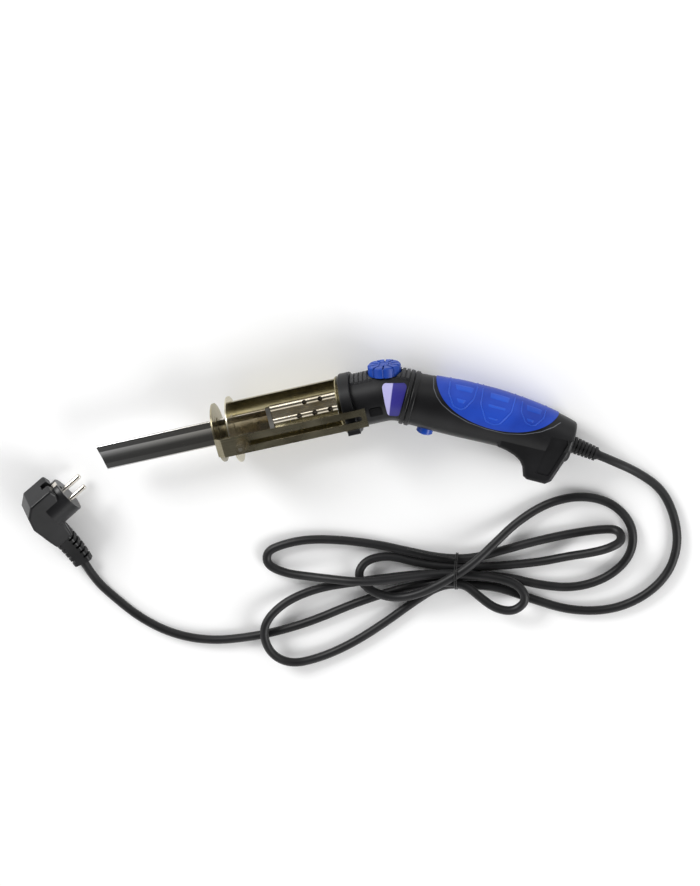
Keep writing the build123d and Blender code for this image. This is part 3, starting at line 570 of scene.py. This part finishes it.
def pads(mesh, tree, side, patches, height):
    """Raised pads: four corners in x and degrees, edges dropping into the skin."""
    cells = 8
    for corners in patches:
        grid = []
        for j in range(cells + 1):
            v = j / cells
            row = []
            for i in range(cells + 1):
                u = i / cells
                left = [corners[0][n] + (corners[3][n] - corners[0][n]) * v for n in (0, 1)]
                right = [corners[1][n] + (corners[2][n] - corners[1][n]) * v for n in (0, 1)]
                x, angle = [left[n] + (right[n] - left[n]) * u for n in (0, 1)]
                hit, normal = on_skin(tree, side, x, angle)
                edge = min(i, j, cells - i, cells - j)
                rise = -0.2 if edge == 0 else height * (0.8 if edge == 1 else 1.0)
                row.append(mesh.verts.new(hit + normal * rise * MM))
            grid.append(row)
        for j in range(cells):
            for i in range(cells):
                mesh.faces.new((grid[j][i], grid[j][i + 1], grid[j + 1][i + 1], grid[j + 1][i]))


# Shield marks: left, right, top angle, tip x, tip angle; and the pads inside each
SHIELDS = [
    (47.6, 73.0, 12.0, 62.5, 73.0),
    (78.3, 109.0, 12.0, 95.0, 88.0),
    (116.0, 138.8, 16.0, 129.0, 68.0),
]
BARS = [
    [(52, 17), (71, 17), (69.5, 32), (54, 32)],
    [(56, 50), (66, 50), (64, 59), (59, 59)],
    [(85, 17), (105, 17), (104, 32), (85.5, 32)],
    [(85, 45), (103.5, 45), (102.5, 51), (86, 51)],
    [(88, 73), (98.5, 73), (97, 77), (90, 77)],
    [(119.5, 20), (136, 20), (135, 36), (121, 36)],
    [(122.5, 53), (130.5, 53), (129.5, 60), (124.5, 60)],
]


def shield_outlines():
    found = []
    for left, right, top, tip_x, tip in SHIELDS:
        waist = top + 0.5 * (tip - top)
        span = right - left
        found.append(
            [
                (left, top),
                (left + 0.03 * span, waist),
                (left + 0.3 * span, tip - 4),
                (tip_x, tip),
                (right - 0.28 * span, tip - 5),
                (right - 0.03 * span, waist),
                (right, top),
            ]
        )
    return found


# Line just outside the grip's lower edge, X and Z of the handle; the low ridge laid along it is coloured
# grey as a painted highlight
HIGHLIGHT_RIDGE_LINE = [
    (31.5, 26.0),
    (34.0, 20.0),
    (38.5, 14.5),
    (45, 9.0),
    (56, 3.4),
    (72, -2.0),
    (90, -4.2),
    (108, -4.1),
    (124, 0.0),
    (139, 7.4),
    (149, 15.2),
    (154.5, 21.0),
]


def as_angles(line, radius=24.0):
    """Height above the axis turned into an angle from the top."""
    return [(x, 90 - math.asin(max(-1, min(1, (z - GRIP_AXIS_Z) / radius))) / DEGREE) for x, z in line]


for side, place in ((-1, "near"), (1, "far")):
    grip_skin = surface_of(f"grip_{place}")
    relief = bmesh.new()
    strips(relief, grip_skin, side, shield_outlines(), 1.3, 0.45)
    pads(relief, grip_skin, side, BARS, 0.5)
    # Raised marks take the lighter painted-highlight blue
    finish_mesh(f"grip_relief_{place}", relief, "handle", GRIP_MARK_PAINTED_HIGHLIGHT)
    # Low ridge below the grip, coloured grey as a painted highlight
    line = bmesh.new()
    strips(line, surface_of(f"handle_shell_{place}"), side, [as_angles(HIGHLIGHT_RIDGE_LINE)], 0.9, 0.2)
    finish_mesh(f"handle_inlay_{place}", line, "handle", HIGHLIGHT_PAINT)


# ---- trigger spring: an own copy of the CAD spring, riding with the handle ----
def coil_spring():
    source = NODES["trigger_spring"]
    made = link("coil_spring", source.data.copy())
    made.matrix_world = source.matrix_world.copy()
    dress(made, STEEL)
    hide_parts("trigger_spring")
    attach(made, "handle")
    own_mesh(made)


coil_spring()

# ---- twist tie: flat coated wire round the bundle, ends twisted ----
TIE_X = 0.104
TIE_RADIUS = 0.00048
TIE_LOOP = [
    (-0.1710, 0.00056),
    (-0.1535, 0.00056),
    (-0.1358, 0.00056),
    (-0.1352, 0.0090),
    (-0.1400, 0.0190),
    (-0.1455, 0.0262),
    (-0.1510, 0.0273),
    (-0.1570, 0.0262),
    (-0.1660, 0.0190),
    (-0.1714, 0.0080),
]
TIE_TAIL = [
    (0.1035, -0.1378, 0.0156),
    (0.094, -0.1355, 0.0152),
    (0.082, -0.1346, 0.013),
    (0.070, -0.1334, 0.0122),
    (0.057, -0.131, 0.0108),
]


def twist_tie():
    data = bpy.data.curves.new("tie_wire", "CURVE")
    data.dimensions = "3D"
    data.bevel_depth = 1.0
    data.bevel_resolution = 4
    data.resolution_u = 10
    data.use_fill_caps = True
    for shift in (-0.0006, 0.0006):
        spline = data.splines.new("NURBS")
        spline.points.add(len(TIE_LOOP) - 1)
        for spot, (y, z) in zip(spline.points, TIE_LOOP):
            spot.co = (TIE_X + shift * (1 + 20 * z), y, z, 1.0)
            spot.radius = TIE_RADIUS
        spline.order_u = 3
        spline.use_cyclic_u = True
    route = [Vector(point) for point in TIE_TAIL]
    turns = 6
    count = 72
    for phase in (0.0, math.pi):
        spline = data.splines.new("NURBS")
        spline.points.add(count - 1)
        for k in range(count):
            spot = k / (count - 1) * (len(route) - 1)
            step = min(int(spot), len(route) - 2)
            centre = route[step].lerp(route[step + 1], spot - step)
            angle = phase + TAU * turns * k / (count - 1)
            offset = Vector((0, math.cos(angle), math.sin(angle))) * 0.0005
            spline.points[k].co = (*(centre + offset), 1.0)
            spline.points[k].radius = TIE_RADIUS
        spline.order_u = 3
        spline.use_endpoint_u = True
    made = link("tie_wire", data)
    dress(made, TIE)
    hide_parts("twist_tie")
    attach(made, "handle")


twist_tie()


# ---- studio ----
def floor():
    size = 6.0
    data = bpy.data.meshes.new("floor")
    corners = [(-size, -size, 0), (size, -size, 0), (size, size, 0), (-size, size, 0)]
    data.from_pydata(corners, [], [(0, 1, 2, 3)])
    made = link("floor", data)
    look = Look("floor_paper", 0.6)
    look.color(look.ramp(look.noise(3.0), (0.4, (0.93, 0.93, 0.93)), (0.6, (0.95, 0.95, 0.95))))
    dress(made, look)


def area_light(name, place, size, power, aim=(0, -0.05, 0)):
    data = bpy.data.lights.new(name, "AREA")
    data.shape = "RECTANGLE"
    data.size, data.size_y = size
    data.energy = power
    made = link(name, data)
    made.location = place
    made.rotation_euler = (Vector(aim) - Vector(place)).to_track_quat("-Z", "Y").to_euler()


# Sky brightness by height: bright ring all round, dark overhead
SKY = [(0.0, 0.4), (0.2, 1.0), (0.62, 1.05), (0.8, 0.3), (0.93, 0.06), (1.0, 0.05)]


def world():
    made = bpy.data.worlds.new("studio")
    bpy.context.scene.world = made
    made.use_nodes = True
    tree = made.node_tree
    background = tree.nodes["Background"]
    background.inputs["Strength"].default_value = 1.0
    coords = tree.nodes.new("ShaderNodeTexCoord")
    split = tree.nodes.new("ShaderNodeSeparateXYZ")
    ramp = tree.nodes.new("ShaderNodeValToRGB")
    shades = ramp.color_ramp.elements
    while len(shades) < len(SKY):
        shades.new(0.5)
    for shade, (height, level) in zip(shades, SKY):
        shade.position = height
        shade.color = (level, level, level, 1)
    tree.links.new(coords.outputs["Generated"], split.inputs["Vector"])
    tree.links.new(split.outputs["Z"], ramp.inputs["Fac"])
    tree.links.new(ramp.outputs["Color"], background.inputs["Color"])


floor()
area_light("key", (-2.0, 1.7, 1.5), (1.4, 1.0), 62)
area_light("fill", (2.1, -1.2, 1.4), (1.6, 1.2), 42)
world()
bpy.context.scene.view_settings.view_transform = "Standard"
